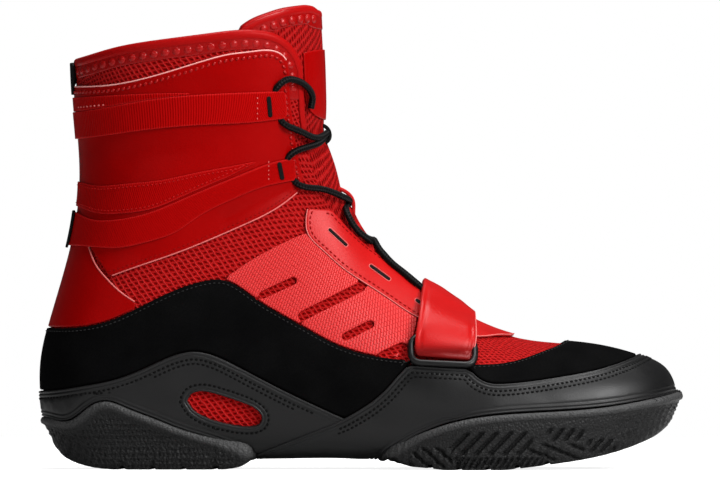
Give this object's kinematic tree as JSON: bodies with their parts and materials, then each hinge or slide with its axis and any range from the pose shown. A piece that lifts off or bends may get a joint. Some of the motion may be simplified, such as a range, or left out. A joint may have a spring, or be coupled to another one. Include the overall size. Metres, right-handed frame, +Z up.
{
  "type": "boxing shoe",
  "caption": "High laced boxing shoe: mesh and leather upper, webbing lace loops, instep strap with wire ring, suede foxing and a split rubber sole.",
  "frame": {"origin": "on the ground, under the middle of the shoe's bounding box", "axes": "+X to the toe, +Y to the inner side of the foot, +Z up"},
  "size_m": [0.2893, 0.1046, 0.2074],
  "materials": {
    "mesh_red": "open knit mesh, matte",
    "leather_red": "smooth, semi-gloss",
    "embossed_red": "finely embossed, satin",
    "webbing_red": "ribbed webbing, satin",
    "suede_black": "suede nap, matte",
    "rand_black": "smooth, satin",
    "rubber_black": "moulded, matte",
    "cord_black": "woven, matte",
    "wire_black": "glossy black",
    "footbed_black": "napped, matte"
  },
  "bodies": {
    "root": {"upper": "mesh_red", "tongue": "mesh_red", "tongue_patch": "leather_red", "tongue_loop_upper": "webbing_red", "tongue_loop_lower": "webbing_red", "insole": "footbed_black", "outsole_forefoot": "rubber_black", "outsole_heel": "rubber_black", "rand_front": "rand_black", "rand_rear": "rand_black", "suede_foxing": "suede_black", "shaft_panel": "leather_red", "heel_counter": "leather_red", "quarter_outer": "embossed_red", "quarter_inner": "embossed_red", "eyestay": "leather_red", "webbing_upper": "webbing_red", "webbing_lower": "webbing_red", "strip_upper": "webbing_red", "strip_lower": "webbing_red", "pull_tab": "cord_black", "strap_keeper": "cord_black", "instep_strap": "leather_red", "strap_ring": "wire_black", "lace_arc_outer": "cord_black", "lace_arc_inner": "cord_black", "lace_crossing": "cord_black", "lace_lower": "cord_black"}
  },
  "joints": []
}
